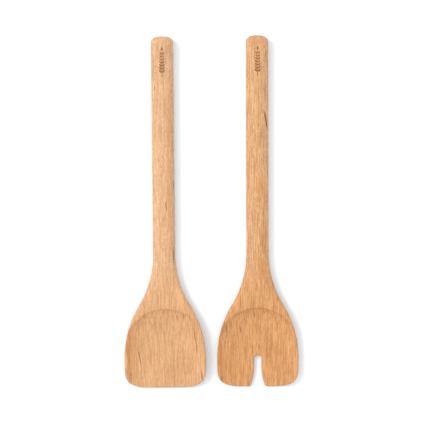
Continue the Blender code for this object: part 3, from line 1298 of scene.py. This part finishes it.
def spoon() -> Server:
    """The plain-edged server."""
    orange, yellow = linear(184, 126, 74), linear(222, 176, 118)
    streaks = (  # each one's place, width, length and strength
        # partly a deeper tone of the wood, partly painted shade of the rim along the blade's left side
        Streak(-31.4, 24, 4.0, 50, 0.7, tone=linear(166, 108, 56)),
        Streak(-30.5, 8, 3.6, 14, 0.5, tone=linear(150, 96, 56)),
        Streak(-27, 27, 11, 60, 0.4, tone=orange),
        Streak(-18, 32, 9, 44, 0.18, tone=orange),
        Streak(-30, 46, 3.0, 16, 0.5, tone=linear(168, 104, 52)),
        Streak(-21.8, 25, 1.0, 22, 0.95, lean=-0.2),
        Streak(-19, 55, 3.4, 16, 0.4, tone=orange),
        # painted shadow just below the left end of the dish's crest
        Streak(-22.5, 57, 6.0, 2.2, 0.5, tone=orange),
        Streak(25.2, 45, 1.0, 18, 0.85, lean=-0.1),
        Streak(26.8, 34, 0.9, 14, 0.8, lean=-0.1),
        Streak(31.0, 10, 1.8, 14, 0.75),
        Streak(10.4, 60, 1.2, 8, 0.5),
        Streak(15.8, 61, 1.0, 7, 0.42),
        Streak(-17.0, 62.0, 3.6, 7, 0.32),
        Streak(8.0, 84, 1.4, 34, 0.75, tone=orange),
        Streak(14, 78, 8, 28, 0.3, tone=yellow),
        Streak(8.3, 113, 1.2, 20, 0.9),
        Streak(2.4, 155, 1.2, 13, 1.0),
        Streak(3.2, 166, 2.2, 34, 0.5, tone=orange),
        Streak(4.6, 188, 1.1, 26, 0.7, tone=orange, lean=-0.04),
        Streak(4.6, 214, 1.3, 44, 0.7, tone=orange),
        Streak(3.0, 232, 1.1, 10, 0.6, tone=orange, lean=-0.25),
        Streak(6.4, 226, 3.4, 34, 0.3, tone=orange),
        Streak(8.5, 173, 1.0, 14, 0.65),
        Streak(4.4, 170, 4.6, 240, 0.28, tone=orange),
        Streak(9, 64, 8, 26, 0.2, tone=orange),
        Streak(25, 32, 10, 60, 0.16, tone=orange),
        Streak(-6.5, 255, 1.0, 6.5, 0.75),
    )
    wood = Beech(
        name="spoon_beech",
        light=linear(203, 164, 125),
        deep=linear(178, 135, 95),
        blade_tint=(0.95, 0.87, 0.76),
        # painted shade on the dish's wall
        wall_shade_tint=(0.95, 0.93, 0.9),
        # the painted shade line along the crest
        crest=0.12,
        streaks=streaks,
        seed=3.7,
        handle_contrast=1.3,
        blade_contrast=1.2,
        blade_start=118.0,
    )
    return Server(
        kind=Kind.SPOON,
        turn=math.radians(0.6),
        tip_squareness=4.7,
        rim_softness=0.35 * MM,
        wood=wood,
        sprig=Sprig(across=-0.2 * MM),
    )


def fork() -> Server:
    """The slotted server."""
    orange, ochre = linear(178, 106, 46), linear(186, 124, 60)
    streaks = (  # each one's place, width, length and strength
        # partly a deeper tone of the wood, partly painted shade of the rim along the blade's left side
        Streak(-31.6, 28, 3.2, 52, 0.55, tone=linear(166, 98, 42)),
        Streak(-30.6, 6.5, 3.0, 9, 0.5),
        Streak(-13, 10, 6.0, 22, 0.3, tone=orange),
        Streak(-26.6, 50, 1.3, 10, 0.75),
        Streak(-14.6, 48.5, 1.1, 7, 0.8),
        Streak(-20.5, 57, 12, 9, 0.3, tone=linear(190, 146, 92)),
        Streak(-1.0, 54, 2.0, 24, 0.35, tone=linear(164, 100, 46)),
        Streak(-2.8, 61, 1.1, 7, 0.6),
        Streak(-18.5, 74, 6.5, 20, 0.3, tone=linear(214, 158, 96)),
        Streak(-14.6, 74, 1.3, 24, 0.85, tone=linear(142, 84, 38)),
        Streak(15.5, 58.5, 1.1, 6, 0.45),
        Streak(8.5, 15, 3.5, 14, 0.35, tone=linear(206, 136, 66)),
        Streak(3.6, 103, 6.4, 24, 0.45, tone=orange),
        Streak(4.2, 126, 6.0, 56, 0.6, tone=ochre),
        Streak(1.4, 131, 0.9, 14, 0.6),
        Streak(5.6, 137, 0.9, 14, 0.55),
        Streak(4.4, 124, 0.9, 18, 0.6),
        Streak(5.8, 117, 0.9, 14, 0.5),
        Streak(4.8, 148, 0.9, 11, 0.6),
        Streak(0.8, 118, 0.8, 12, 0.5),
        Streak(1.2, 167, 0.9, 9, 0.65),
        Streak(2.6, 168, 6.4, 40, 0.5, tone=ochre),
        Streak(3.8, 170, 0.8, 12, 0.5),
        Streak(-6.2, 187, 1.5, 9, 0.5, tone=orange),
        Streak(7.0, 227, 1.9, 21, 1.0, lean=-0.17, tone=linear(88, 44, 20)),
    )
    wood = Beech(
        name="fork_beech",
        light=linear(200, 156, 111),
        deep=linear(169, 122, 79),
        blade_tint=(0.96, 0.845, 0.7),
        # painted shade on the dish's wall
        wall_shade_tint=(0.93, 0.9, 0.86),
        # the painted shade line along the crest
        crest=0.28,
        streaks=streaks,
        seed=8.3,
        handle_contrast=1.35,
        blade_contrast=1.35,
        blade_start=125.0,
    )
    return Server(
        kind=Kind.FORK,
        turn=math.radians(0.14),
        tip_squareness=4.8,
        rim_softness=0.22 * MM,
        wood=wood,
        sprig=Sprig(across=0.4 * MM),
        slot=Slot(),
    )


def main() -> None:
    """Builds the pair in its studio."""
    logging.basicConfig(level=logging.INFO, format="%(name)s: %(message)s")
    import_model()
    for server in (spoon(), fork()):
        server.build()
        log.info("%s done, %d pieces", server.node, len(server.pieces))
    Studio().build()


if __name__ == "__main__":
    main()
